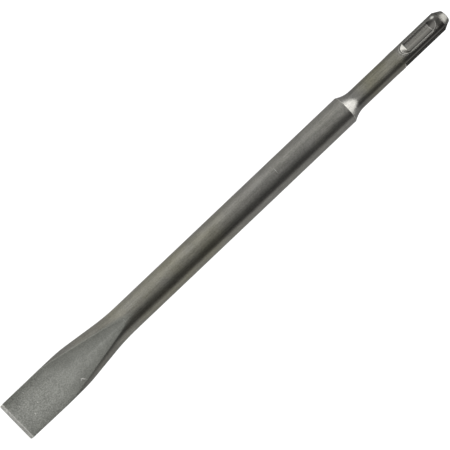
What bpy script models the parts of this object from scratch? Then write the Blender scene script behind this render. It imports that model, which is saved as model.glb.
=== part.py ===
# Flat chisel for a rotary hammer, forged, ground and grooved from one round bar of steel.
# It lies along X with its cutting edge at -X and its striking end at +X, the blade's flats
# facing up and down. Metres, +Z up, with the origin under the middle of the chisel.

import math

import bmesh
import bpy
from mathutils import Matrix

MM = 0.001

# Round body and the two lengths that make up the whole chisel
BODY_DIAMETER = 14.0 * MM
EDGE_TO_SHOULDER = 203.9 * MM
SHOULDER_TO_END = 61.1 * MM

# Blade
BLADE_WIDTH = 20.4 * MM
BLADE_PARALLEL = 36.0 * MM  # length of the parallel sides, from the cutting edge
BLADE_CORNER = 0.8 * MM  # radius of the cutting edge's two corners, seen from above
FLAT_LENGTH = 68.5 * MM  # from the cutting edge to where the forged flats run out
BLADE_THICKNESS = 2.8 * MM  # at the back of the ground bevels
BEVEL_ANGLE = math.radians(34.5)  # of each ground bevel, from the chisel's middle plane
EDGE_LAND = 0.2 * MM  # what the grinding leaves of the cutting edge's thickness
FLARE_ANGLE = math.radians(7.1)  # of each side, where the blade spreads out of the body
FLARE_RADIUS = 108.0 * MM  # of the hollow that leads from the body into the spread

# Neck and shank
NECK_DIAMETER = 9.8 * MM
SHOULDER_RADIUS = 13.0 * MM  # of the hollow shoulder under the body's sharp rim
SHANK_DIAMETER = 10.0 * MM
SHANK_LENGTH = 29.8 * MM  # of the full diameter, from the striking end
SHANK_LEAD = 0.8 * MM  # length of the cone between neck and shank
STRIKING_DIAMETER = 5.9 * MM  # of the flat face that the hammer's striker hits
STRIKING_CONE = 3.7 * MM  # length of the cone round that face

# Ball grooves, closed at both ends, on opposite sides of the shank
GROOVE_TURN = math.radians(21.0)  # from the blade's upper flat, towards +Y
GROOVE_RADIUS = 3.75 * MM  # of the hollow, seen along the shank
GROOVE_DEPTH = 2.0 * MM
GROOVE_FLOOR = 14.0 * MM  # length at full depth
GROOVE_SETBACK = 9.3 * MM  # from the striking end to the end of the full depth
GROOVE_RAMP = math.radians(35.0)  # of the two ends
MOUTH_RADIUS = 12.0 * MM  # of the soft lip that the grooves open into
MOUTH_DEPTH = 1.4 * MM  # of that wider, shallower hollow, at its middle
MOUTH_RAMP = math.radians(10.0)
MOUTH_LIP = 0.2 * MM  # how deep the lip's slope runs before the groove's ramp starts

# Drive slots, open at the striking end, a quarter turn from the ball grooves
SLOT_LENGTH = 28.6 * MM
SLOT_DEPTH = 1.8 * MM
SLOT_FLOOR_WIDTH = 2.8 * MM
SLOT_MOUTH_WIDTH = 5.2 * MM
SLOT_RUN_OUT = 1.7 * MM  # how far the closed end slopes, from mouth to floor

# How finely round surfaces are divided, and how far cutters reach past the steel
SIDES = 64
GROOVE_SIDES = 56
FLARE_RINGS = 12
BLADE_RINGS = 8
SHOULDER_RINGS = 10
CORNER_POINTS = 5
REACH = 4.0 * MM
MERGE = 0.00001

STEEL_COLOUR = (0.205, 0.2, 0.178, 1.0)
STEEL_ROUGHNESS = 0.42

# Sizes that follow from the ones above
whole_length = EDGE_TO_SHOULDER + SHOULDER_TO_END
body_radius = BODY_DIAMETER / 2
neck_radius = NECK_DIAMETER / 2
shank_radius = SHANK_DIAMETER / 2
half_turn = math.pi / SIDES
axis_height = body_radius * math.cos(half_turn)  # a facet of the body lies on the floor
bevel_length = (BLADE_THICKNESS - EDGE_LAND) / 2 / math.tan(BEVEL_ANGLE)


def empty_scene():
    for obj in list(bpy.data.objects):
        bpy.data.objects.remove(obj, do_unlink=True)


def new_collection(name):
    collection = bpy.data.collections.new(name)
    bpy.context.scene.collection.children.link(collection)
    return collection


def new_object(name, mesh, collection):
    obj = bpy.data.objects.new(name, mesh)
    collection.objects.link(obj)
    return obj


def steel_material():
    material = bpy.data.materials.new("steel")
    material.use_nodes = True
    shader = material.node_tree.nodes["Principled BSDF"]
    shader.inputs["Base Color"].default_value = STEEL_COLOUR
    shader.inputs["Metallic"].default_value = 1.0
    shader.inputs["Roughness"].default_value = STEEL_ROUGHNESS
    return material


def turned(name, profile, sides):
    """Turn (place along the chisel, radius) points, from the last place back, about X."""
    profile_mesh = bpy.data.meshes.new(name + "_profile")
    points = [(radius, 0.0, place) for place, radius in profile]
    edges = [(i, i + 1) for i in range(len(points) - 1)]
    profile_mesh.from_pydata(points, edges, [])
    guide = new_object(name + "_profile", profile_mesh, bpy.context.scene.collection)
    screw = guide.modifiers.new("turn", "SCREW")
    screw.axis = "Z"
    screw.angle = math.tau
    screw.steps = sides
    screw.render_steps = sides
    screw.use_merge_vertices = True
    screw.merge_threshold = MERGE
    graph = bpy.context.evaluated_depsgraph_get()
    mesh = bpy.data.meshes.new_from_object(guide.evaluated_get(graph))
    mesh.name = name
    bpy.data.objects.remove(guide, do_unlink=True)
    bpy.data.meshes.remove(profile_mesh)
    # The turning axis is laid along X, and a facet instead of an edge is turned down.
    lay_down = Matrix.Rotation(math.pi / 2, 4, "Y")
    facet_down = Matrix.Rotation(math.pi / sides, 4, "X")
    mesh.transform(facet_down @ lay_down)
    return mesh


def flare_sizes():
    """The places where the hollow meets the straight flare and where it meets the body."""
    hollow = FLARE_RADIUS * math.sin(FLARE_ANGLE)
    rise = FLARE_RADIUS * (1 - math.cos(FLARE_ANGLE))
    straight = (BLADE_WIDTH / 2 - body_radius - rise) / math.tan(FLARE_ANGLE)
    return BLADE_PARALLEL + straight, BLADE_PARALLEL + straight + hollow


def spread_half_width(place):
    """Half the width of the spread bar, before its sides are trimmed parallel."""
    straight_end, body_start = flare_sizes()
    if place >= body_start:
        return body_radius
    if place > straight_end:
        across = body_start - place
        return body_radius + FLARE_RADIUS - math.sqrt(FLARE_RADIUS**2 - across**2)
    return BLADE_WIDTH / 2 + (BLADE_PARALLEL - place) * math.tan(FLARE_ANGLE)


def shoulder_points():
    """The hollow shoulder, from the neck up to the body's rim."""
    drop = body_radius - neck_radius
    sweep = math.acos(1 - drop / SHOULDER_RADIUS)
    points = []
    for i in range(SHOULDER_RINGS + 1):
        angle = sweep * i / SHOULDER_RINGS
        place = EDGE_TO_SHOULDER + SHOULDER_RADIUS * (math.sin(sweep) - math.sin(angle))
        points.append((place, neck_radius + SHOULDER_RADIUS * (1 - math.cos(angle))))
    return points


def bar_profile():
    shank_start = whole_length - SHANK_LENGTH
    profile = [
        (whole_length, 0.0),
        (whole_length, STRIKING_DIAMETER / 2),
        (whole_length - STRIKING_CONE, shank_radius),
        (shank_start, shank_radius),
        (shank_start - SHANK_LEAD, neck_radius),
    ]
    profile += shoulder_points()
    straight_end, body_start = flare_sizes()
    for i in range(FLARE_RINGS):
        step = (body_start - straight_end) / FLARE_RINGS
        profile.append((body_start - i * step, body_radius))
    for i in range(BLADE_RINGS + 1):
        profile.append((straight_end * (1 - i / BLADE_RINGS), body_radius))
    profile.append((0.0, 0.0))
    return profile


def forged_bar():
    """The round bar, with its working end spread sideways and still as thick as the body."""
    mesh = turned("chisel", bar_profile(), SIDES)
    for vertex in mesh.vertices:
        vertex.co.y *= spread_half_width(vertex.co.x) / body_radius
    return mesh


def blade_outline():
    """The chisel's trimmed outline from above: parallel sides with rounded front corners."""
    half = BLADE_WIDTH / 2
    end = whole_length + REACH
    corner = []
    for i in range(CORNER_POINTS + 1):
        angle = math.pi / 2 * i / CORNER_POINTS
        across = half - BLADE_CORNER * (1 - math.sin(angle))
        corner.append((BLADE_CORNER * (1 - math.cos(angle)), across))
    left = corner + [(end, half)]
    return [(x, -y) for x, y in left] + [(x, y) for x, y in reversed(left)]


def outline_cutter(collection):
    """A plate of that outline, thicker than the chisel, that keeps only what lies in it."""
    shape = bmesh.new()
    bottom = [shape.verts.new((x, y, -body_radius - REACH)) for x, y in blade_outline()]
    face = shape.faces.new(bottom)
    result = bmesh.ops.extrude_face_region(shape, geom=[face])
    top = [item for item in result["geom"] if isinstance(item, bmesh.types.BMVert)]
    bmesh.ops.translate(shape, verts=top, vec=(0.0, 0.0, BODY_DIAMETER + 2 * REACH))
    bmesh.ops.recalc_face_normals(shape, faces=shape.faces)
    return bmesh_object("outline_cutter", shape, collection)


def bmesh_object(name, shape, collection):
    mesh = bpy.data.meshes.new(name)
    shape.to_mesh(mesh)
    shape.free()
    return new_object(name, mesh, collection)


def slope_cutter(name, start, height, angle, length, flip, collection):
    """A block whose lower face starts at (start, height) and climbs at angle towards +X."""
    depth = body_radius + REACH
    shape = bmesh.new()
    bmesh.ops.create_cube(shape, size=1.0)
    bmesh.ops.scale(shape, vec=(length + 2 * REACH, BLADE_WIDTH * 2, depth), verts=shape.verts)
    bmesh.ops.translate(shape, vec=(length / 2, 0.0, depth / 2), verts=shape.verts)
    place = Matrix.Translation((start, 0.0, height)) @ Matrix.Rotation(-angle, 4, "Y")
    if flip:
        place = Matrix.Rotation(math.pi, 4, "X") @ place
    bmesh.ops.transform(shape, matrix=place, verts=shape.verts)
    return bmesh_object(name, shape, collection)


def radial_turn(turn):
    """Turns what was made above the shank's axis round it, from +Z towards +Y."""
    return Matrix.Rotation(-turn, 4, "X")


def hollow_cutter(name, radius, depth, floor_start, floor_end, ramp, turn, collection):
    """A round bar, bent up at both ends, that leaves a round hollow with a ramp at each end."""
    rise = depth + REACH
    reach = rise / math.tan(ramp)
    profile = [
        (floor_end + reach, 0.0),
        (floor_end + reach, radius),
        (floor_end, radius),
        (floor_start, radius),
        (floor_start - reach, radius),
        (floor_start - reach, 0.0),
    ]
    mesh = turned(name, profile, GROOVE_SIDES)
    for vertex in mesh.vertices:
        beyond = max(floor_start - vertex.co.x, vertex.co.x - floor_end, 0.0)
        vertex.co.z += beyond * math.tan(ramp)
    height = shank_radius - depth + radius * math.cos(math.pi / GROOVE_SIDES)
    mesh.transform(radial_turn(turn) @ Matrix.Translation((0.0, 0.0, height)))
    return new_object(name, mesh, collection)


def groove_cutters(label, turn, collection):
    floor_end = whole_length - GROOVE_SETBACK
    floor_start = floor_end - GROOVE_FLOOR
    groove = hollow_cutter(
        label + "_groove_cutter", GROOVE_RADIUS, GROOVE_DEPTH,
        floor_start, floor_end, GROOVE_RAMP, turn, collection,
    )
    # The lip's slope crosses the groove's ramp where both are MOUTH_LIP deep.
    ramp = (GROOVE_DEPTH - MOUTH_LIP) / math.tan(GROOVE_RAMP)
    slope = (MOUTH_DEPTH - MOUTH_LIP) / math.tan(MOUTH_RAMP)
    mouth = hollow_cutter(
        label + "_mouth_cutter", MOUTH_RADIUS, MOUTH_DEPTH,
        floor_start - ramp + slope, floor_end + ramp - slope, MOUTH_RAMP, turn, collection,
    )
    return [groove, mouth]


def slot_cutter(label, turn, collection):
    """A block that widens outwards, with a sloping inner end."""
    flank = (SLOT_MOUTH_WIDTH - SLOT_FLOOR_WIDTH) / 2 / SLOT_DEPTH
    slope = SLOT_RUN_OUT / SLOT_DEPTH
    mouth_start = whole_length - SLOT_LENGTH
    shape = bmesh.new()
    bmesh.ops.create_cube(shape, size=1.0)
    for vertex in shape.verts:
        above_floor = SLOT_DEPTH + REACH if vertex.co.z > 0 else 0.0
        across = SLOT_FLOOR_WIDTH / 2 + flank * above_floor
        start = mouth_start + slope * (SLOT_DEPTH - above_floor)
        vertex.co.x = whole_length + REACH if vertex.co.x > 0 else start
        vertex.co.y = math.copysign(across, vertex.co.y)
        vertex.co.z = shank_radius - SLOT_DEPTH + above_floor
    bmesh.ops.transform(shape, matrix=radial_turn(turn), verts=shape.verts)
    return bmesh_object(label + "_slot_cutter", shape, collection)


def blade_cutters(collection):
    """The forged flats and the ground bevels, above and below."""
    rise = axis_height - BLADE_THICKNESS / 2
    flat_run = FLAT_LENGTH - bevel_length
    flat_angle = math.atan2(rise, flat_run)
    cutters = []
    for label, flip in (("upper", False), ("lower", True)):
        cutters.append(slope_cutter(
            label + "_flat_cutter", bevel_length, BLADE_THICKNESS / 2, flat_angle,
            math.hypot(rise, flat_run), flip, collection,
        ))
        cutters.append(slope_cutter(
            label + "_bevel_cutter", 0.0, EDGE_LAND / 2, BEVEL_ANGLE,
            bevel_length / math.cos(BEVEL_ANGLE), flip, collection,
        ))
    return cutters


def cut(obj, cutter, operation):
    cutter.hide_render = True
    cutter.display_type = "WIRE"
    boolean = obj.modifiers.new(cutter.name, "BOOLEAN")
    boolean.operation = operation
    boolean.solver = "EXACT"
    boolean.object = cutter


def main():
    empty_scene()
    parts = new_collection("flat_chisel")
    cutters = new_collection("cutters")

    chisel = new_object("chisel", forged_bar(), parts)
    chisel.data.materials.append(steel_material())
    cut(chisel, outline_cutter(cutters), "INTERSECT")
    for cutter in blade_cutters(cutters):
        cut(chisel, cutter, "DIFFERENCE")
    for label, turn in (("upper", GROOVE_TURN), ("lower", GROOVE_TURN + math.pi)):
        for cutter in groove_cutters(label, turn, cutters):
            cut(chisel, cutter, "DIFFERENCE")
    for label, turn in (("left", math.pi / 2), ("right", -math.pi / 2)):
        cut(chisel, slot_cutter(label, GROOVE_TURN + turn, cutters), "DIFFERENCE")
    chisel.data.shade_smooth()
    chisel.data.set_sharp_from_angle(angle=math.radians(30.0))

    # Everything was made with the axis on X and the cutting edge at the origin.
    place = Matrix.Translation((-whole_length / 2, 0.0, axis_height))
    for obj in [chisel, *cutters.objects]:
        obj.matrix_world = place


main()
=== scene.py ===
import math

import bmesh
import bpy
import numpy as np
from mathutils import Matrix, Vector


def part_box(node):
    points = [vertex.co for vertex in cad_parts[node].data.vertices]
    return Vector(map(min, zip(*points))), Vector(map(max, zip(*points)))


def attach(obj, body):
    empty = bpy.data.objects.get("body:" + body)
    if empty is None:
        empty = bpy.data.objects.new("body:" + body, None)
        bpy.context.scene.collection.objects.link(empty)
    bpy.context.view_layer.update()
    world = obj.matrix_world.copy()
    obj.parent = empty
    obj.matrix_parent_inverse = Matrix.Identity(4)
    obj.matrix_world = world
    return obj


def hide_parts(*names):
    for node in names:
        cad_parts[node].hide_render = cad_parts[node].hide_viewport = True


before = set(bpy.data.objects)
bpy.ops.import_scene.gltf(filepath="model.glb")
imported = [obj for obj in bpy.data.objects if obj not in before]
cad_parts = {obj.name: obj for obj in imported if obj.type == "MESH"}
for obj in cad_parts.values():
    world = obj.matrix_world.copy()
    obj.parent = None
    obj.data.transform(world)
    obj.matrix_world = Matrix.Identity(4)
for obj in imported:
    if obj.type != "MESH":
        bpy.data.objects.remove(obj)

print("frame loaded:", sorted(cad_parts))
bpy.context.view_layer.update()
low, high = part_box("chisel")
mm = 0.001

# The forged bar, in millimetres. Places are counted from the cutting edge.
# Length, blade width and body thickness come from the frame.
barSizes = {
    "wholeLength": (high.x - low.x) / mm,
    "bladeWidth": (high.y - low.y) / mm,
    "bodyRadius": (high.z - low.z) / mm / 2,
    "bladeParallel": 36.0,
    "bladeCorner": 0.8,
    "bladeThickness": 2.25,     # the CAD has 2.8, which makes the bevels 0.4 mm longer than they look
    "flatLength": 68.5,
    "bevelAngle": math.radians(34.5),
    "edgeLand": 0.2,
    "flareAngle": math.radians(7.1),
    "flareRadius": 108.0,
    "edgeToShoulder": 203.9,
    "shoulderRadius": 13.0,
    "neckRadius": 4.9,
    "shankRadius": 5.0,
    "shankLength": 29.8,
    "shankLead": 4.0,
    "strikingRadius": 2.95,
    "strikingCone": 3.7,
    "bladeEnd": 100.0,     # the spread blade's own forms are all over by here
    "profileStart": 60.0,     # the turned profile is worked out from here to so far past the end
    "profileBeyond": 3.0,
    "profileStep": 0.02,
}

# Closed ball grooves and open drive slots of the shank
shankSizes = {
    "grooveTurn": math.radians(21.0),     # from the blade's upper flat, towards +Y
    "grooveRadius": 3.75,
    "grooveDepth": 2.0,
    "grooveFloor": 14.0,
    "grooveSetback": 9.3,
    "nearRamp": math.radians(36.5),
    "farRamp": math.radians(31.5),
    "rampStart": 0.17,     # how softly the floor turns up
    "rampSpread": 1.6,     # how fast the section flattens up the ramps, which rounds the groove's ends
    "rampReach": 20.0,     # longest run of a ramp that is worked out
    # The soft lip round each groove: (place, width of its slope) and (place, how deep it leads in)
    "lipWidth": [(240.0, 0.8), (242.5, 0.6), (257.0, 0.6), (258.8, 1.1)],
    "lipDepth": [(241.6, 0.04), (243.6, 0.2)],
    "slotLength": 28.6,
    "slotDepth": 1.8,
    "slotFloorWidth": 2.8,
    "slotMouthWidth": 5.2,
    "slotRunOut": 1.7,
}

# How soft each edge came out, as the width of its rounding
edgeSizes = {
    "rim": 0.3,
    "crease": 0.12,
    "trimmed": 0.5,
    "ground": 0.16,
    "groove": 0.07,
    "lip": 0.06,
    "slot": 0.2,
    "slotFloor": 0.4,
    "endFace": 0.4,
}

# Numbers that only keep the sums in range, in millimetres
wellOutside = 100.0
wellInside = -5.0
verySmall = 1e-9


def srgb(hexColour):
    # A hex colour as Blender's linear values
    values = [int(hexColour[i:i + 2], 16) / 255 for i in (0, 2, 4)]
    linear = [v / 12.92 if v <= 0.04045 else ((v + 0.055) / 1.055) ** 2.4 for v in values]
    return (*linear, 1.0)


def addNode(tree, kind, settings=None, links=None):
    # One node, its settings by property, input name or input number, and what feeds its inputs
    node = tree.nodes.new(kind)
    for key, value in (settings or {}).items():
        if isinstance(key, int) or key in node.inputs:
            node.inputs[key].default_value = value
        else:
            setattr(node, key, value)
    for key, source in (links or {}).items():
        if source is not None:
            tree.links.new(source, node.inputs[key])
    return node


def follow(stops, place):
    # A value that follows a list of (place, value) stops along the chisel
    return np.interp(place, *zip(*stops))


def softMax(a, b, width):
    # The larger of two distances, rounded where they meet
    near = np.maximum(width - np.abs(a - b), 0.0) / width
    return np.maximum(a, b) + near * near * width / 4


def flareEnds():
    # Where the hollow of the flare meets its straight side, and where it meets the body
    z = barSizes
    hollow = z["flareRadius"] * math.sin(z["flareAngle"])
    rise = z["flareRadius"] * (1 - math.cos(z["flareAngle"]))
    straight = (z["bladeWidth"] / 2 - z["bodyRadius"] - rise) / math.tan(z["flareAngle"])
    return z["bladeParallel"] + straight, z["bladeParallel"] + straight + hollow


def spreadHalfWidth(place):
    # Half the width of the spread bar before its sides are trimmed
    z = barSizes
    straightEnd, bodyStart = flareEnds()
    across = np.clip(bodyStart - place, 0.0, bodyStart - straightEnd)
    hollow = z["bodyRadius"] + z["flareRadius"] - np.sqrt(z["flareRadius"] ** 2 - across ** 2)
    straight = z["bladeWidth"] / 2 + (z["bladeParallel"] - place) * math.tan(z["flareAngle"])
    return np.where(place < straightEnd, straight, hollow)


def makeTurnedProfile():
    # Radius of the body, shoulder, neck, shank and end cone, with softened corners
    z = barSizes
    step = z["profileStep"]
    place = np.arange(z["profileStart"], z["wholeLength"] + z["profileBeyond"], step)
    drop = z["bodyRadius"] - z["neckRadius"]
    sweep = math.acos(1 - drop / z["shoulderRadius"])
    shoulderEnd = z["edgeToShoulder"] + z["shoulderRadius"] * math.sin(sweep)
    run = np.clip(shoulderEnd - place, 0.0, shoulderEnd - z["edgeToShoulder"])
    shoulder = z["neckRadius"] + z["shoulderRadius"] - np.sqrt(z["shoulderRadius"] ** 2 - run ** 2)
    leadEnd = z["wholeLength"] - z["shankLength"]
    lead = np.clip((place - leadEnd) / z["shankLead"] + 1, 0.0, 1.0)
    neck = z["neckRadius"] + (z["shankRadius"] - z["neckRadius"]) * lead
    coneStart = z["wholeLength"] - z["strikingCone"]
    slope = (z["shankRadius"] - z["strikingRadius"]) / z["strikingCone"]
    cone = z["shankRadius"] - slope * (place - coneStart) + wellOutside * (place < leadEnd)
    radius = np.where(place < z["edgeToShoulder"], z["bodyRadius"], np.maximum(shoulder, neck))
    radius = np.minimum(radius, cone)
    width = int(edgeSizes["rim"] / step)
    kernel = np.hanning(width + 2)
    padded = np.concatenate([np.full(width, radius[0]), radius, np.full(width, radius[-1])])
    soft = np.convolve(padded, kernel / kernel.sum(), "same")[width:-width]
    return place, np.minimum(soft, z["bodyRadius"])


turnedPlaces, turnedRadii = makeTurnedProfile()


def bevelLength():
    # How far each ground bevel reaches back from the cutting edge
    return (barSizes["bladeThickness"] - barSizes["edgeLand"]) / 2 / math.tan(barSizes["bevelAngle"])


def flatHeight(place):
    # Half the blade's thickness between its two forged flats
    z = barSizes
    slope = (z["bodyRadius"] - z["bladeThickness"] / 2) / (z["flatLength"] - bevelLength())
    return z["bladeThickness"] / 2 + (place - bevelLength()) * slope


def trimHalfWidth(place):
    # Half the width between the trimmed sides, drawn in at the rounded front corners
    z = barSizes
    into = np.clip(z["bladeCorner"] - place, 0.0, z["bladeCorner"])
    return z["bladeWidth"] / 2 - z["bladeCorner"] + np.sqrt(z["bladeCorner"] ** 2 - into ** 2)


def creaseHalfWidth(place):
    # Half the width of the flats: out to the trimmed sides, or to the crease with the round side
    rounded = np.sqrt(np.clip(1 - (flatHeight(place) / barSizes["bodyRadius"]) ** 2, 0.0, 1.0))
    return np.minimum(trimHalfWidth(place), spreadHalfWidth(place) * rounded)


def grooveSection(place):
    # The groove's round section: its radius, which grows up the end ramps, and its centre's height
    b, s = barSizes, shankSizes
    floorEnd = b["wholeLength"] - s["grooveSetback"]
    beyond = np.maximum(floorEnd - s["grooveFloor"] - place, place - floorEnd)
    beyond = np.clip(beyond, 0.0, s["rampReach"])
    beyond = np.sqrt(beyond ** 2 + s["rampStart"] ** 2) - s["rampStart"]
    rise = beyond * np.tan(np.where(place > floorEnd, s["farRamp"], s["nearRamp"]))
    radius = s["grooveRadius"] + s["rampSpread"] * rise ** 2
    return radius, b["shankRadius"] - s["grooveDepth"] + radius + rise


def grooveDistance(place, y, z, turn):
    # Distance to a groove, less than nothing inside it
    radius, height = grooveSection(place)
    below = height - math.sin(turn) * y - math.cos(turn) * z
    across = math.cos(turn) * y - math.sin(turn) * z
    return (np.hypot(below, across) - radius) * math.cos(shankSizes["nearRamp"])


def slotDistance(place, y, z, turn):
    # Distance to a slot, less than nothing inside it
    s = shankSizes
    out = math.sin(turn) * y + math.cos(turn) * z
    across = np.abs(math.cos(turn) * y - math.sin(turn) * z)
    floor = barSizes["shankRadius"] - s["slotDepth"]
    flank = (s["slotMouthWidth"] - s["slotFloorWidth"]) / 2 / s["slotDepth"]
    sides = (across - s["slotFloorWidth"] / 2 - flank * (out - floor)) / math.hypot(1, flank)
    slope = s["slotRunOut"] / s["slotDepth"]
    start = barSizes["wholeLength"] - s["slotLength"] + slope * (barSizes["shankRadius"] - out)
    end = (start - place) / math.hypot(1, slope)
    return softMax(softMax(floor - out, sides, edgeSizes["slotFloor"]), end, edgeSizes["slotFloor"])


def slotMouthAngle():
    # Where a slot's flank meets the round shank, from the slot's middle
    s, r = shankSizes, barSizes["shankRadius"]
    flank = (s["slotMouthWidth"] - s["slotFloorWidth"]) / 2 / s["slotDepth"]
    atAxis = s["slotFloorWidth"] / 2 - flank * (r - s["slotDepth"])
    steep = 1 + flank ** 2
    out = (math.sqrt(steep * r ** 2 - atAxis ** 2) - flank * atAxis) / steep
    return math.acos(out / r)


def steelSurfaces(place, y, z):
    # Every surface that bounds the steel: its name, the distance past it and how soft its edges are
    b, s, e = barSizes, shankSizes, edgeSizes
    turned = np.interp(place, turnedPlaces, turnedRadii)
    onBlade = place < b["bladeEnd"]
    halfWidth = np.where(onBlade, spreadHalfWidth(place), turned)
    halfHeight = np.where(onBlade, b["bodyRadius"], turned)
    reach = np.sqrt((y / halfWidth) ** 2 + (z / halfHeight) ** 2) + verySmall
    steep = np.sqrt((y / halfWidth ** 2) ** 2 + (z / halfHeight ** 2) ** 2) / reach + verySmall
    wedge = np.where(onBlade, np.abs(z) - flatHeight(place), wellInside)
    bevel = np.abs(z) - b["edgeLand"] / 2 - place * math.tan(b["bevelAngle"])
    surfaces = [
        ("bar", (reach - 1) / steep, 1.0),
        ("trim", np.abs(y) - trimHalfWidth(place), e["trimmed"]),
        ("flat", wedge, e["crease"]),
        ("bevel", bevel * math.cos(b["bevelAngle"]), e["ground"]),
        ("strikingFace", place - b["wholeLength"], e["endFace"]),
        ("land", -place, e["ground"]),
    ]
    lipWidth = follow(s["lipWidth"], place)
    lipDepth = follow(s["lipDepth"], place)
    steepness = np.hypot(1 / lipDepth, 1 / lipWidth)
    for half in (0.0, math.pi):
        turn = s["grooveTurn"] + half
        groove = grooveDistance(place, y, z, turn)
        lip = ((reach - 1) / steep / lipDepth - groove / lipWidth + 1) / steepness
        surfaces.append(("lip", lip, e["lip"]))
        surfaces.append(("groove", -groove, e["groove"]))
        surfaces.append(("slot", -slotDistance(place, y, z, turn + math.pi / 2), e["slot"]))
    return surfaces


def steelDistance(place, y, z):
    # Distance past the steel's surface, with every edge softened
    surfaces = steelSurfaces(place, y, z)
    solid = surfaces[0][1]
    for name, distance, width in surfaces[1:]:
        solid = softMax(solid, distance, width)
    return solid


# Where the steel is worn bright and where glints are painted on it, where painted shade darkens it, how
# painted light and shade lie along it, and where the heat of forging left an olive cast. Lists of pairs are
# (place, value) stops along the chisel.
markSizes = {
    "reach": 0.45,     # a surface's mark fades out this far from it
    "inside": 4,     # how sharply some marks keep to the flats or out of the grooves
    # Two surfaces, and how bright the edge between them is: worn bright, and along the bevels partly a
    # painted glint
    "wornAndGlinting": [("flat", "bevel", 1.3), ("trim", "bevel", 0.9), ("bevel", "land", 0.7),
               ("trim", "flat", 0.6), ("bar", "slot", 0.4), ("bar", "strikingFace", 0.6)],
    # Bright lines across the chisel, worn edges and painted highlights, as (place, how wide, how bright)
    "rimLine": (203.85, 0.22, 0.6),     # the shoulder's rim
    "rampLine": (255.7, 0.3, 0.7),     # a painted highlight on the crease where each groove's floor starts to rise towards the striking end
    "slotLine": (236.6, 0.4, 1.0),     # a painted glint at the closed end of each slot
    "flatTip": (68.0, 0.6, 0.6),     # the tip of each flat
    "rimClear": 2.9,     # the rim isn't brightened this near to the middle line
    # Painted highlight and painted shade in rings round each groove's end near the neck, in place of the
    # lip's slope, as (how far out, how wide, how strong)
    "highlightRing": (0.5, 0.16, 0.66),
    "shadeRing": (0.2, 0.12, 1.0),
    "ringFade": [(240.3, 1.0), (241.8, 0.0)],
    "ringStart": 230.0,
    "grooveEdgeWornAndLit": (241.5, 1.5, 0.68),     # the grooves' edges, worn bright with a painted highlight on the side away from +Y: from where, softly over, how bright
    "grindFringe": (2.0, 0.68),     # the flats' paler fringe behind the bevels: how far, how bright
    "borderReach": 7.2,     # of the painted shade along the flats' borders, from their edges inwards
    "borderLean": 1.5,     # how much less it reaches in on the -Y side
    # Painted shade in the lips, grooves and slots
    "lipShade": (1.6, 0.6),     # how sharply it keeps to the grooves' lips
    "farLip": (258.2, 0.4),     # it stays in the whole lip from here on, and how softly that starts
    "plusLip": [(241.0, 0.0), (243.0, 0.7)],     # on the lip's +Y side
    "grooveShade": 0.8,     # in the grooves, past the ramp line, it is full this far towards +Y
    # Painted shade and painted light beside the flats, on the upper side
    "creaseStart": 0.15,     # it is full this far out from the crease
    "minusDark": (0.27, 1.0),     # on the -Y side: how dark, how far out
    "minusPale": (0.08, 2.0),     # the same side grows paler again: how much, by how far out
    "plusDark": (0.2, 1.1),
    "paleStart": (4.0, 2.0),     # the +Y side is painted lighter from here outwards, and how softly that starts
    "paleSide": [(0, 0.22), (60, 0.25), (110, 0.0)],
    # Painted shade on the end cone's sides, which narrows its highlight, as (from where along, from how far
    # out, how softly, how dark)
    "coneSideShade": (261.4, 0.9, 1.2, 0.2),
    "grooveDark": (241.7, 0.2),     # painted shade makes the grooves darker than the bar from here on, by this much
    # Painted shade along the bar, as lightness stops: darker flanks on the flare, a dark band past the
    # shoulder's highlight, and dips that dim the far lip's glint and shape the end cone's highlight
    "paintedLightAndShade": [(0, 0.72), (57, 0.74), (68, 1.0), (138, 1.0), (165, 0.95), (203.9, 0.95), (204.2, 0.85),
                 (207.5, 0.82), (209, 0.7), (210.3, 0.6), (211.5, 0.66), (213, 0.73),
                 (257.8, 0.7), (259.0, 0.6), (260.6, 0.6), (261.2, 0.63),
                 (261.35, 0.35), (261.8, 0.5), (262.2, 0.6), (264.2, 0.6), (264.9, 0.45)],
    "flatDim": [(1.8, 0.0), (3.2, 0.11), (6, 0.09), (9, 0.05), (20, 0.03), (28, 0.05), (36, 0.1),
                (62, 0.1), (68, 0.03)],
    "flatGrain": [(0, 0.95), (20, 0.8), (34, 0.5), (70, 0.42)],     # the flats are sandiest near the edge
    "barGrain": 0.42,
    "machined": [(236.5, 0.0), (238.5, 1.0), (261.2, 1.0), (261.5, 0.0)],
    "turned": [(203.9, 0.0), (204.2, 1.0), (206.0, 1.0), (209.5, 0.0), (261.2, 0.0), (261.6, 1.0)],
    "oliveCast": [(0, 0.1), (40, 0.25), (66, 0.75), (128, 0.8), (142, 0.25), (203, 0.2), (205, 0.0),
                  (211, 0.1), (219, 0.95), (236, 0.95), (239, 0.2), (265, 0.15)],
}


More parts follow.
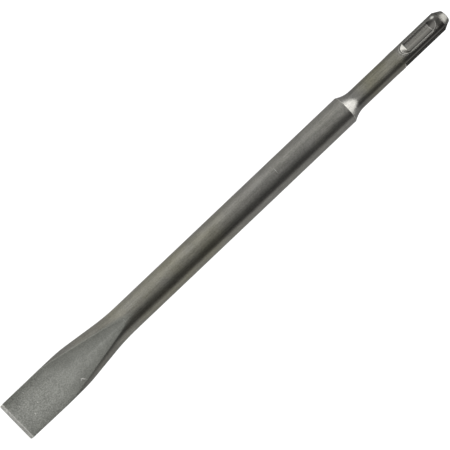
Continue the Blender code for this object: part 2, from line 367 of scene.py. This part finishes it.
def surfaceMarks(place, y, z):
    # How much each point belongs to the flats, the ground bevels and the hollows, how bright its worn edges
    # and painted glints are, and its painted light and shade
    m = markSizes
    nearness = {}
    for name, distance, width in steelSurfaces(place, y, z):
        close = np.clip(1 + distance / m["reach"], 0.0, 1.0)
        nearness[name] = np.maximum(nearness.get(name, 0.0), close)
    flat, bevel, groove, lip = [nearness[name] for name in ("flat", "bevel", "groove", "lip")]
    outside = np.abs(y) - creaseHalfWidth(place)
    turn = shankSizes["grooveTurn"]
    fromGroove = np.minimum(grooveDistance(place, y, z, turn), grooveDistance(place, y, z, turn + math.pi))

    line = {}
    for name in ("rimLine", "rampLine", "slotLine", "flatTip"):
        at, wide, bright = m[name]
        line[name] = np.exp(-((place - at) / wide) ** 2) * bright
    ringFade = follow(m["ringFade"], place) * (place > m["ringStart"])
    for name in ("highlightRing", "shadeRing"):
        at, wide, strong = m[name]
        line[name] = np.exp(-((fromGroove - at) / wide) ** 2) * ringFade * strong

    # The grooves' edges are worn bright, with a painted highlight, on the side away from +Y, and carry
    # painted shade on the other.
    plusSide = (y * math.cos(turn) - z * math.sin(turn)) * np.sign(z)
    start, softly, edgeBright = m["grooveEdgeWornAndLit"]
    grooveEdge = np.minimum(lip, groove) * np.clip((place - start) / softly, 0.0, 1.0)
    fringe, fringeBright = m["grindFringe"]
    behindBevel = np.maximum(place - bevelLength(), 0.0) / fringe
    # Worn edges and painted glints: edges between surfaces, bright lines across, the painted highlight
    # ring, the grooves' edges and the flats' fringe behind the bevels
    wornAndGlinting = [np.minimum(nearness[a], nearness[b]) * share for a, b, share in m["wornAndGlinting"]]
    wornAndGlinting += [
        line["rimLine"] * (np.abs(y) > m["rimClear"]),
        line["rampLine"] * groove,
        line["slotLine"] * nearness["slot"],
        line["flatTip"] * np.minimum(flat, nearness["bar"]),
        line["highlightRing"],
        grooveEdge * np.where(plusSide > 0, 0.0, edgeBright),
        flat * np.exp(-behindBevel) * fringeBright,
    ]

    # Painted shade in the lips, in the grooves' +Y side past the ramp line, in the slots and in a ring
    # round each groove's near end
    gain, loss = m["lipShade"]
    lipShade = np.clip(gain * lip - loss, 0.0, 1.0) * (1 - groove ** m["inside"])
    start, softly = m["farLip"]
    paintedHollowShade = [
        lipShade * np.clip((place - start) / softly, 0.0, 1.0),
        lipShade * (plusSide > 0) * follow(m["plusLip"], place),
        groove * np.clip(plusSide / m["grooveShade"], 0.0, 1.0) * (place > m["rampLine"][0]),
        nearness["slot"] ** 2,
        line["shadeRing"],
    ]

    # Beside the flats, painted shade darkens the steel along the -Y crease, and painted light makes the +Y
    # side pale.
    dark, wide = m["minusDark"]
    pale, paleWide = m["minusPale"]
    minusShade = dark * np.exp(-(outside / wide) ** 2) - pale * np.clip(outside / paleWide, 0.0, 1.0)
    dark, wide = m["plusDark"]
    plusShade = dark * np.exp(-(outside / wide) ** 2)
    besideFlat = np.clip(outside / m["creaseStart"], 0.0, 1.0) * (z > 0) * (place < barSizes["flatLength"])
    start, softly = m["paleStart"]
    paleSide = np.clip((y - start) / softly, 0.0, 1.0) * (z > 0) * follow(m["paleSide"], place)
    creaseShade = besideFlat * np.where(y < 0, minusShade, plusShade) - paleSide * (1 - flat)

    # Painted shade on the end cone's sides
    start, middle, softly, dark = m["coneSideShade"]
    coneShade = dark * np.clip((np.abs(y) - middle) / softly, 0.0, 1.0) * (place > start)
    # Painted shade along the bar, deeper in the grooves, and the flats dimmed along their length
    start, dark = m["grooveDark"]
    lengthShade = (1 - follow(m["paintedLightAndShade"], place)) * (1 - flat) * (1 - bevel)
    lengthShade = lengthShade * (1 + dark * groove * (place > start))
    flatShade = flat ** m["inside"] * follow(m["flatDim"], place)
    return {
        "flatFace": flat * (1 - bevel),
        "groundFace": bevel,
        "wornAndGlintingEdge": np.max(wornAndGlinting, axis=0),
        "flatEdgeShade": np.clip(1 + (outside - m["borderLean"] * (y < 0)) / m["borderReach"], 0.0, 1.0),
        "paintedHollowShade": np.max(paintedHollowShade, axis=0),
        "paintedLightAndShade": 1 - lengthShade - creaseShade - coneShade - flatShade,
        "machinedFace": follow(m["machined"], place),
        "sandyGrain": m["barGrain"] + flat * (follow(m["flatGrain"], place) - m["barGrain"]),
        "turnedFace": follow(m["turned"], place),
        "oliveCast": follow(m["oliveCast"], place),
    }


# How many points go round the mesh, a quarter at a time
ringPoints = {
    "bladeSide": 20,
    "bladeFlat": 36,
    "slotFloor": 8,
    "slotEdge": 10,
    "land": 10,
    "lip": 10,
    "groove": 18,
}

# Stretches of the mesh: where each one ends and how far its rings are apart
ringSpacing = [
    (0.2, 0.05), (1.2, 0.2), (1.9, 0.07), (2.8, 0.15), (34.5, 0.9), (37.5, 0.25), (63.0, 0.75),
    (71.0, 0.25), (201.5, 3.6), (202.9, 0.4), (204.6, 0.1), (210.0, 0.3), (233.0, 1.6),
    (238.2, 0.25), (242.4, 0.1), (254.8, 0.7), (259.8, 0.1), (261.0, 0.2), (262.3, 0.12),
    (264.4, 0.3), (265.0, 0.06),
]

# How the rings of points are laid and found
ringShape = {
    "gather": 1.3,     # over 1 the blade's points crowd towards the corners of its section
    "creaseClear": math.radians(8.0),     # the crease's line of points stays this far from straight up
    "edgeSlack": math.radians(1.2),     # lines of points run this far beside a slot's or groove's edge
    "leastTurn": math.radians(3.0),     # narrowest that a groove and its lip are drawn round the shank
    # From so far past the flats, and up to this place, the blade's rings turn into the shank's
    "handOver": (4.0, 232.0),
    "searchReach": 12.0,     # the surface is looked for between the axis and here, in halving steps
    "searchSteps": 34,
    "capRings": 6,     # rings that close the striking face
}


def spread(start, end, count, gather=1.0):
    # Points from start to just before end, closer together near the start where gather is over 1
    return start + (end - start) * (np.arange(count) / count) ** gather


def bladeDirections(place):
    # Directions round the blade, with one line of points that follows the crease
    b, gather = barSizes, ringShape["gather"]
    half = min(float(flatHeight(place)), b["bodyRadius"] * math.cos(ringShape["creaseClear"]))
    wide = float(spreadHalfWidth(np.array(place)))
    trim = float(trimHalfWidth(place))
    bevelHalf = b["edgeLand"] / 2 + place * math.tan(b["bevelAngle"])
    half = min(half, bevelHalf)
    creaseAcross = min(trim, wide * math.sqrt(1 - (half / b["bodyRadius"]) ** 2))
    heights = half * (1 - spread(0.0, 1.0, ringPoints["bladeSide"], gather))[::-1]
    heights = np.concatenate([[0.0], heights[:-1]])
    side = np.minimum(trim, wide * np.sqrt(1 - (heights / b["bodyRadius"]) ** 2))
    flat = creaseAcross * (1 - spread(0.0, 1.0, ringPoints["bladeFlat"], gather))
    quarter = np.concatenate([np.arctan2(heights, side), np.arctan2(half, flat)])
    return fullRing(quarter, 0.0)


def fullRing(quarter, start):
    # A quarter's directions, mirrored and turned into a whole ring
    back = math.pi / 2 + (math.pi / 2 - np.append(quarter, math.pi / 2)[:0:-1])
    half = np.concatenate([quarter, back])
    return np.concatenate([half, half + math.pi]) + start


def grooveReach(place, past):
    # How far round the shank a groove reaches from its middle, out to a distance past its edge
    shank = barSizes["shankRadius"]
    radius, height = grooveSection(place)
    reach = radius + past / math.cos(shankSizes["nearRamp"])
    return math.acos(min((shank ** 2 + height ** 2 - reach ** 2) / (2 * shank * height), 1.0))


def shankDirections(place):
    # Directions round the shank, from a slot's middle to a groove's middle and on.
    # Lines of points follow the groove's edge and the outside of its lip.
    s, r, p = shankSizes, barSizes["shankRadius"], ringPoints
    floorCorner = math.atan2(s["slotFloorWidth"] / 2, r - s["slotDepth"])
    mouthCorner = slotMouthAngle()
    slack, least = ringShape["edgeSlack"], ringShape["leastTurn"]
    lip = float(follow(s["lipWidth"], place))
    grooveEdge = math.pi / 2 - max(grooveReach(place, 0.0) - slack / 2, least)
    lipEdge = min(math.pi / 2 - grooveReach(place, lip), grooveEdge - least)
    quarter = np.concatenate([
        spread(0.0, floorCorner - slack, p["slotFloor"]),
        spread(floorCorner - slack, mouthCorner + 2 * slack, p["slotEdge"]),
        spread(mouthCorner + 2 * slack, lipEdge, p["land"]),
        spread(lipEdge, grooveEdge, p["lip"]),
        spread(grooveEdge, math.pi / 2, p["groove"]),
    ])
    return fullRing(quarter, -s["grooveTurn"])


def ringPlaces():
    # Where each ring of points stands along the chisel
    places = [0.0]
    for end, gap in ringSpacing:
        count = max(1, round((end - places[-1]) / gap))
        places += list(np.linspace(places[-1], end, count + 1)[1:])
    return np.array(places)


def chiselRings():
    # Finds the surface along every direction of every ring
    places = ringPlaces()
    lastBlade = bladeDirections(barSizes["flatLength"])
    past, handOverEnd = ringShape["handOver"]
    handOverStart = barSizes["flatLength"] + past
    rows = []
    for place in places:
        if place <= barSizes["flatLength"]:
            rows.append(bladeDirections(place))
        else:
            share = np.clip((place - handOverStart) / (handOverEnd - handOverStart), 0.0, 1.0)
            rows.append(lastBlade + (shankDirections(place) - lastBlade) * share)
    directions = np.array(rows)
    along = np.repeat(places[:, None], directions.shape[1], axis=1)
    near = np.zeros_like(directions)
    far = np.full_like(directions, ringShape["searchReach"])
    for _ in range(ringShape["searchSteps"]):
        middle = (near + far) / 2
        outside = steelDistance(along, middle * np.cos(directions), middle * np.sin(directions)) > 0
        far = np.where(outside, middle, far)
        near = np.where(outside, near, middle)
    radius = (near + far) / 2
    y, z = radius * np.cos(directions), radius * np.sin(directions)
    return along, y, z, surfaceMarks(along, y, z)


def buildChisel():
    # One closed mesh of rings, in metres and in the frame's place, with a value for each mark at its points
    along, y, z, marks = chiselRings()
    rings, around = along.shape
    middle, floorToAxis = barSizes["wholeLength"] / 2, barSizes["bodyRadius"]
    points = np.stack([along - middle, y, z + floorToAxis], -1).reshape(-1, 3)
    index = np.arange(rings * around).reshape(rings, around)
    nextRound = np.roll(index, -1, axis=1)
    faces = np.stack([index[:-1], index[1:], nextRound[1:], nextRound[:-1]], -1)
    faces = faces.reshape(-1, 4).tolist()
    # The cutting edge's narrow land is closed straight across, from upper to lower flat.
    mirrored = (-np.arange(around)) % around
    for i in range(around // 2):
        j = i + 1
        corners = [index[0, i], index[0, j], index[0, mirrored[j]], index[0, mirrored[i]]]
        faces.append(list(dict.fromkeys(corners)))
    # The striking face is closed with rings that shrink to its middle.
    capRings = ringShape["capRings"]
    centre = len(points) + (capRings - 1) * around
    previous = index[-1]
    extra = []
    for k in range(1, capRings):
        shrink = 1 - k / capRings
        ring = np.stack([along[-1] - middle, y[-1] * shrink, z[-1] * shrink + floorToAxis], -1)
        current = len(points) + (k - 1) * around + np.arange(around)
        extra.append(ring)
        faces += np.stack([previous, current, np.roll(current, -1), np.roll(previous, -1)], -1).tolist()
        previous = current
    extra.append(np.array([[middle, 0.0, floorToAxis]]))
    faces += [[int(previous[i]), centre, int(previous[(i + 1) % around])] for i in range(around)]
    points = np.concatenate([points, *extra]) * mm
    mesh = bpy.data.meshes.new("forgedChisel")
    mesh.from_pydata(points.tolist(), [], faces)
    for name, values in marks.items():
        atEnd = np.full(len(points) - values.size, values[-1].mean())
        mesh.attributes.new(name, "FLOAT", "POINT").data.foreach_set("value", np.append(values, atEnd))
    mesh.validate()
    mesh.shade_smooth()
    piece = bpy.data.objects.new("forgedChisel", mesh)
    bpy.context.scene.collection.objects.link(piece)
    return piece


# Colours and grain of the steel; sizes in millimetres
steelFinish = {
    "barNeutral": "6B6A67",
    "barOlive": "6C6A5D",
    # painted shade along the flats' borders
    "flat": "9A9B95",
    "flatEdgeShade": "757670",
    "ground": "AEAEA9",
    # worn edges and painted glints
    "wornAndGlinting": "D6D5CF",
    # painted shade in the hollows
    "shadeColour": "3B3A37",
    "edgeTint": "C4C4C4",
    # Patterns, as (size, noise detail, noise roughness, how many times longer than wide)
    "patterns": {
        # Drawn coarser than the real sandy grain, which is too fine to show
        "blastGrain": (0.62, 3.0, 0.6, 1.0),
        "drawnStreak": (0.5, 3.0, 0.5, 28.0),
        "oliveCloud": (9.0, 3.0, 0.55, 2.0),
        "mottle": (3.2, 3.0, 0.6, 1.8),
    },
    "marks": ["flatFace", "groundFace", "wornAndGlintingEdge", "flatEdgeShade", "paintedHollowShade", "paintedLightAndShade",
              "machinedFace", "sandyGrain", "turnedFace", "oliveCast"],
    # A pattern or mark, two limits of it, and what it becomes there
    "ranges": {
        "cloudShare": ("oliveCloud", 0.35, 0.6, 0.45, 1.0),
        "wornAndGlintShare": ("wornAndGlintingEdge", 0.45, 0.95, 0.0, 1.0),
        "wornAndGlintGrain": ("blastGrain", 0.35, 0.6, 0.8, 1.0),
        "spotGrain": ("blastGrain", 0.35, 0.6, 0.4, 1.0),
        "streakShade": ("drawnStreak", 0.3, 0.7, -0.13, 0.13),
        "sandShade": ("blastGrain", 0.37, 0.63, -0.36, 0.36),
        "mottleShade": ("mottle", 0.3, 0.7, -0.12, 0.12),
        "calm": ("machinedFace", 0.0, 1.0, 1.0, 0.3),     # milled places are the most even
        "grainDepth": ("sandyGrain", 0.4, 1.0, 0.2, 1.0),
        "barRoughness": ("blastGrain", 0.3, 0.7, 0.29, 0.33),
    },
    # How those are put together: the result, the operation and its two terms
    "sums": [
        ("olive", "MULTIPLY", "oliveCast", "cloudShare"),
        ("grainyWornAndGlint", "MULTIPLY", "wornAndGlintShare", "wornAndGlintGrain"),
        ("brokenSpots", "MULTIPLY", "spotShare", "spotGrain"),
        ("bright", "MAXIMUM", "grainyWornAndGlint", "brokenSpots"),
        # painted shade over the hollows, at this share
        ("shadeShare", "MULTIPLY", "paintedHollowShade", 0.45),
        ("roundShare", "SUBTRACT", 1.0, "flatFace"),
        ("lengthwise", "MULTIPLY", "streakShade", "roundShare"),
        ("sandy", "MULTIPLY", "sandShade", "sandyGrain"),
        ("blotchy", "ADD", "sandy", "mottleShade"),
        ("together", "ADD", "blotchy", "lengthwise"),
        ("uneven", "MULTIPLY", "together", "calm"),
        ("milledCalm", "MULTIPLY", "machinedFace", 0.18),
        ("bumpStrength", "SUBTRACT", "grainDepth", "milledCalm"),
    ],
    "lightness": (-0.5, 0.5, 0.6, 1.4),     # what the unevenness does to the steel's lightness
    "roughness": {"flatFace": 0.46, "machinedFace": 0.21, "turnedFace": 0.39, "groundFace": 0.3,
                  "grainyWornAndGlint": 0.27},
    "bumpHeight": 0.03,
    "spotFade": (0.4, 1.2),     # a nick mark or painted glint fades between these shares of its half length and width
    "spotHeight": 2.5,     # it reaches so far above and below its place
}

# Bright scratches and nick marks, the last two painted glints on the far lip and at a slot's closed end:
# place along, place across, height over the floor, length, width, turn
nickMarksAndGlints = [
    (36.7, -6.4, 11.0, 3.7, 0.55, -52.0),
    (35.7, -6.0, 11.0, 1.4, 0.5, 20.0),
    (9.8, -2.9, 8.8, 1.1, 0.5, 80.0),
    (8.3, -2.2, 8.8, 0.7, 0.4, 20.0),
    (14.3, 0.1, 9.0, 0.9, 0.5, 60.0),
    (16.2, 1.4, 9.3, 0.7, 0.4, 120.0),
    (12.5, 7.6, 8.9, 1.0, 0.35, 95.0),
    (7.0, 4.0, 8.6, 0.8, 0.4, 30.0),
    (161.9, 1.9, 13.6, 3.4, 0.1, 88.0),
    # a painted glint on the far lip
    (259.3, 3.6, 10.4, 2.0, 1.4, 0.0),
    # a painted glint at a slot's closed end
    (236.9, -4.7, 8.2, 1.6, 2.2, 0.0),
]


def steelMaterial():
    # Forged tool steel, blasted clean and left bare: a dark satin metal with a fine sandy grain.
    # Flats are paler and rougher, turned and milled places smoother, edges worn bright, with painted
    # glints, painted shade and painted light laid on as well.
    f = steelFinish
    material = bpy.data.materials.new("forgedToolSteel")
    material.use_nodes = True
    tree = material.node_tree
    shader = tree.nodes["Principled BSDF"]
    shader.inputs["Metallic"].default_value = 1.0
    shader.inputs["Specular Tint"].default_value = srgb(f["edgeTint"])
    place = addNode(tree, "ShaderNodeTexCoord").outputs["Object"]

    # Whatever steers the looks is kept by name: patterns, marks from the mesh, and what comes of them.
    steer = {}
    for name, (size, detail, rough, stretch) in f["patterns"].items():
        longer = (1 / stretch, 1.0, 1.0)
        stretched = addNode(tree, "ShaderNodeMapping", {"Scale": longer}, {"Vector": place})
        settings = {"Scale": 1 / (size * mm), "Detail": detail, "Roughness": rough}
        noise = addNode(tree, "ShaderNodeTexNoise", settings, {"Vector": stretched.outputs["Vector"]})
        steer[name] = noise.outputs["Fac"]
    for name in f["marks"]:
        steer[name] = addNode(tree, "ShaderNodeAttribute", {"attribute_name": name}).outputs["Fac"]
    for name, (source, fromMin, fromMax, toMin, toMax) in f["ranges"].items():
        settings = {"From Min": fromMin, "From Max": fromMax, "To Min": toMin, "To Max": toMax}
        ranged = addNode(tree, "ShaderNodeMapRange", settings, {"Value": steer[source]})
        steer[name] = ranged.outputs["Result"]

    steer["spotShare"] = None
    full, faded = f["spotFade"]
    for along, across, height, length, width, turn in nickMarksAndGlints:
        around = addNode(tree, "ShaderNodeMapping", {
            "vector_type": "TEXTURE",
            "Location": ((along - barSizes["wholeLength"] / 2) * mm, across * mm, height * mm),
            "Rotation": (0.0, 0.0, math.radians(turn)),
            "Scale": (length / 2 * mm, width / 2 * mm, f["spotHeight"] * mm),
        }, {"Vector": place})
        far = addNode(tree, "ShaderNodeVectorMath", {"operation": "LENGTH"}, {0: around.outputs["Vector"]})
        settings = {"From Min": full, "From Max": faded, "To Min": 1.0, "To Max": 0.0}
        inside = addNode(tree, "ShaderNodeMapRange", settings, {"Value": far.outputs["Value"]})
        strongest = addNode(tree, "ShaderNodeMath", {"operation": "MAXIMUM", 0: 0.0},
                            {0: steer["spotShare"], 1: inside.outputs["Result"]})
        steer["spotShare"] = strongest.outputs["Value"]

    for name, operation, *terms in f["sums"]:
        settings = {i: term for i, term in enumerate(terms) if isinstance(term, float)}
        links = {i: steer[term] for i, term in enumerate(terms) if isinstance(term, str)}
        result = addNode(tree, "ShaderNodeMath", {"operation": operation, **settings}, links)
        steer[name] = result.outputs["Value"]

    # The bar and its flats first, then ground steel, painted shade, and the bright colour of worn edges,
    # nick marks and painted glints over them. A colour mix takes its two colours on inputs 6 and 7
    # and gives the result on output 2.
    under, over, mixed = 6, 7, 2
    barMix = addNode(tree, "ShaderNodeMix", {
        "data_type": "RGBA", under: srgb(f["barNeutral"]), over: srgb(f["barOlive"])}, {0: steer["olive"]})
    flatMix = addNode(tree, "ShaderNodeMix", {
        "data_type": "RGBA", under: srgb(f["flat"]), over: srgb(f["flatEdgeShade"])}, {0: steer["flatEdgeShade"]})
    colour = addNode(tree, "ShaderNodeMix", {"data_type": "RGBA"}, {
        0: steer["flatFace"], under: barMix.outputs[mixed], over: flatMix.outputs[mixed]})
    for share, layer in (("groundFace", "ground"), ("shadeShare", "shadeColour"), ("bright", "wornAndGlinting")):
        colour = addNode(tree, "ShaderNodeMix", {"data_type": "RGBA", over: srgb(f[layer])},
                         {0: steer[share], under: colour.outputs[mixed]})

    # The sandy grain and the drawn streaks lighten and darken the steel a little, and the painted light and
    # shade then scale its lightness.
    fromMin, fromMax, toMin, toMax = f["lightness"]
    settings = {"From Min": fromMin, "From Max": fromMax, "To Min": toMin, "To Max": toMax}
    lightness = addNode(tree, "ShaderNodeMapRange", settings, {"Value": steer["uneven"]})
    value = addNode(tree, "ShaderNodeMath", {"operation": "MULTIPLY"},
                    {0: lightness.outputs["Result"], 1: steer["paintedLightAndShade"]})
    shade = addNode(tree, "ShaderNodeHueSaturation", {},
                    {"Color": colour.outputs[mixed], "Value": value.outputs["Value"]})
    tree.links.new(shade.outputs["Color"], shader.inputs["Base Color"])

    roughness = steer["barRoughness"]
    for name, target in f["roughness"].items():
        gap = addNode(tree, "ShaderNodeMath", {"operation": "SUBTRACT", 0: target}, {1: roughness})
        drop = addNode(tree, "ShaderNodeMath", {"operation": "MULTIPLY"},
                       {0: steer[name], 1: gap.outputs["Value"]})
        result = addNode(tree, "ShaderNodeMath", {"operation": "ADD"},
                         {0: roughness, 1: drop.outputs["Value"]})
        roughness = result.outputs["Value"]
    tree.links.new(roughness, shader.inputs["Roughness"])

    bump = addNode(tree, "ShaderNodeBump", {"Distance": f["bumpHeight"] * mm},
                   {"Height": steer["blastGrain"], "Strength": steer["bumpStrength"]})
    tree.links.new(bump.outputs["Normal"], shader.inputs["Normal"])
    return material


# The camera looks straight down on the lying chisel, rolled so that the shank points up and right.
cameraView = {
    "distance": 0.44,     # in metres
    "pixelsPerMm": 2.232,
    "frame": 450,
    "roll": math.atan2(0.68847556, 0.72525955),     # rise and run of the long axis in the picture
    "turn": math.radians(3.0),     # the camera stands a little to one side of straight above
    "centre": 129.2,     # mm from the cutting edge to the middle of the picture
    "across": 0.28,     # mm from the long axis to it
    "sensor": 36.0,
    "nearest": 0.01,
}


def addCamera():
    # A camera whose lens gives the picture's size of the chisel at the set distance
    v = cameraView
    towards = Vector((0.0, math.sin(v["turn"]), math.cos(v["turn"])))
    right = Vector((0.0, -math.cos(v["turn"]), math.sin(v["turn"])))
    lengthwise = Vector((1.0, 0.0, 0.0))
    pictureRight = lengthwise * math.cos(v["roll"]) + right * math.sin(v["roll"])
    pictureUp = lengthwise * math.sin(v["roll"]) - right * math.cos(v["roll"])
    target = Vector(((v["centre"] - barSizes["wholeLength"] / 2) * mm, 0.0, barSizes["bodyRadius"] * mm))
    target += right * v["across"] * mm
    data = bpy.data.cameras.new("camera")
    seen = v["frame"] / v["pixelsPerMm"] * mm
    data.sensor_width = v["sensor"]
    data.lens = v["sensor"] * v["distance"] / seen
    data.clip_start = v["nearest"]
    camera = bpy.data.objects.new("camera", data)
    turn = Matrix((pictureRight, pictureUp, towards)).transposed().to_4x4()
    camera.matrix_world = Matrix.Translation(target + towards * v["distance"]) @ turn
    bpy.context.scene.collection.objects.link(camera)
    bpy.context.scene.camera = camera


# A white light table under the chisel and a soft dome over it. The dome's brightness goes round the
# chisel's axis in degrees from straight up, the +Y side below nothing: a wide soft light on that
# side, and a dark gap on the other. It also changes along the axis, from -1 to 1. One bright
# softbox stands at the striking end. Table and dome are in metres, the softbox is in millimetres.
studioSizes = {
    "floorReach": 1.5,
    "floorGlow": 1.0,
    "floorColour": "606060",
    "lightColour": "FFFFFF",
    "backdropRadius": 1.45,
    "backdropSegments": (64, 32),
    "sides": [(-180, 1.0), (-92, 1.0), (-88, 1.6), (-66, 1.75), (-58, 1.2), (-44, 0.0), (52, 0.0),
              (58, 0.1), (68, 0.2), (76, 0.57), (86, 1.2), (92, 1.1), (180, 1.0)],
    "overhead": [(-180, 0.0), (-66, 0.0), (-58, 0.55), (-46, 1.7), (-38, 1.65), (-30, 1.2), (-22, 0.95),
                 (-10, 1.05), (-3, 0.93), (8, 0.6), (18, 0.33), (34, 0.18), (50, 0.12), (58, 0.0),
                 (180, 0.0)],
    "lengthwise": [(-1.0, 0.7), (-0.6, 0.8), (-0.45, 1.2), (-0.35, 1.1), (-0.12, 1.25), (-0.03, 1.25),
                   (0.01, 0.35), (0.03, 0.0), (0.14, 0.0), (0.17, 0.7), (0.195, 2.1), (0.275, 2.3),
                   (0.295, 1.6), (0.315, 0.7), (0.345, 0.3), (0.46, 0.3), (0.6, 0.6), (1.0, 0.7)],
    "softboxes": {
        "strikingEndLight": {"from": (75.0, -25.0), "away": 900.0, "tilt": 63.0, "side": 1,
                             "wide": 1340.0, "tall": 1520.0, "bright": 5.6},
    },
}


def addSoftbox(name, box):
    # An oval light, tilted from straight up towards +X or -X and facing a place on the chisel
    tilt = math.radians(box["tilt"])
    outwards = Vector((box["side"] * math.sin(tilt), 0.0, math.cos(tilt)))
    light = bpy.data.lights.new(name, "AREA")
    light.shape = "ELLIPSE"
    light.size = box["wide"] * mm
    light.size_y = box["tall"] * mm
    light.energy = box["bright"] * math.pi * light.size * light.size_y
    lamp = bpy.data.objects.new(name, light)
    lamp.location = Vector((box["from"][0] * mm, box["from"][1] * mm, 0.0)) + outwards * box["away"] * mm
    lamp.rotation_euler = outwards.to_track_quat("Z", "Y").to_euler()
    lamp.visible_camera = False
    bpy.context.scene.collection.objects.link(lamp)


def addStage():
    # A white glowing table, as in a product photo, and a backdrop of the same material
    s = studioSizes
    material = bpy.data.materials.new("whiteLightTable")
    material.use_nodes = True
    shader = material.node_tree.nodes["Principled BSDF"]
    shader.inputs["Base Color"].default_value = srgb(s["floorColour"])
    shader.inputs["Roughness"].default_value = 1.0
    shader.inputs["Specular IOR Level"].default_value = 0.0
    shader.inputs["Emission Color"].default_value = srgb(s["lightColour"])
    shader.inputs["Emission Strength"].default_value = s["floorGlow"]

    floorMesh = bpy.data.meshes.new("floor")
    reach = s["floorReach"]
    corners = [(-reach, -reach, 0), (reach, -reach, 0), (reach, reach, 0), (-reach, reach, 0)]
    floorMesh.from_pydata(corners, [], [(0, 1, 2, 3)])
    floorMesh.materials.append(material)
    floor = bpy.data.objects.new("floor", floorMesh)
    bpy.context.scene.collection.objects.link(floor)

    # A plain white backdrop all round, which only the camera sees
    backdropMesh = bpy.data.meshes.new("backdrop")
    shell = bmesh.new()
    across, upwards = s["backdropSegments"]
    bmesh.ops.create_uvsphere(shell, u_segments=across, v_segments=upwards, radius=s["backdropRadius"])
    shell.to_mesh(backdropMesh)
    shell.free()
    backdropMesh.materials.append(material)
    backdrop = bpy.data.objects.new("backdrop", backdropMesh)
    bpy.context.scene.collection.objects.link(backdrop)
    for ray in ("diffuse", "glossy", "transmission", "shadow"):
        setattr(backdrop, "visible_" + ray, False)


def addDome():
    # The dome's light is its sides, and its overhead light times the change along the axis.
    s = studioSizes
    world = bpy.data.worlds.new("studioDome")
    bpy.context.scene.world = world
    world.use_nodes = True
    tree = world.node_tree
    direction = addNode(tree, "ShaderNodeTexCoord").outputs["Generated"]
    parts = addNode(tree, "ShaderNodeSeparateXYZ", {}, {"Vector": direction})
    toMinusY = addNode(tree, "ShaderNodeMath", {"operation": "MULTIPLY", 1: -1.0}, {0: parts.outputs["Y"]})
    angle = addNode(tree, "ShaderNodeMath", {"operation": "ARCTAN2"},
                    {0: toMinusY.outputs["Value"], 1: parts.outputs["Z"]})
    around = addNode(tree, "ShaderNodeMapRange", {"From Min": -math.pi, "From Max": math.pi},
                     {"Value": angle.outputs["Value"]})
    endwise = addNode(tree, "ShaderNodeMapRange", {"From Min": -1.0, "From Max": 1.0},
                      {"Value": parts.outputs["X"]})

    # Each band of brightness is a ramp over its list of stops, which reaches as far both ways.
    bands = {}
    for name, position in (("sides", around), ("overhead", around), ("lengthwise", endwise)):
        stops = s[name]
        reach = float(stops[-1][0])
        strongest = max(bright for place, bright in stops)
        ramp = addNode(tree, "ShaderNodeValToRGB", {}, {"Fac": position.outputs["Result"]})
        elements = ramp.color_ramp.elements
        while len(elements) > 1:
            elements.remove(elements[-1])
        for place, bright in stops:
            at = (place + reach) / (2 * reach)
            stop = elements.new(at) if place > -reach else elements[0]
            stop.position = at
            stop.color = (bright / strongest, bright / strongest, bright / strongest, 1.0)
        scaled = addNode(tree, "ShaderNodeMath", {"operation": "MULTIPLY", 1: strongest},
                         {0: ramp.outputs["Color"]})
        bands[name] = scaled.outputs["Value"]
    glow = addNode(tree, "ShaderNodeMath", {"operation": "MULTIPLY_ADD"},
                   {0: bands["overhead"], 1: bands["lengthwise"], 2: bands["sides"]})
    background = tree.nodes["Background"]
    background.inputs["Color"].default_value = srgb(s["lightColour"])
    tree.links.new(glow.outputs["Value"], background.inputs["Strength"])


addCamera()
addStage()
addDome()
for name, box in studioSizes["softboxes"].items():
    addSoftbox(name, box)
bpy.context.scene.view_settings.view_transform = "Standard"
print("camera, light table, dome and softbox in place")
chisel = buildChisel()
chisel.data.materials.append(steelMaterial())
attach(chisel, "root")
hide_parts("chisel")
print("chisel built:", len(chisel.data.polygons), "faces")
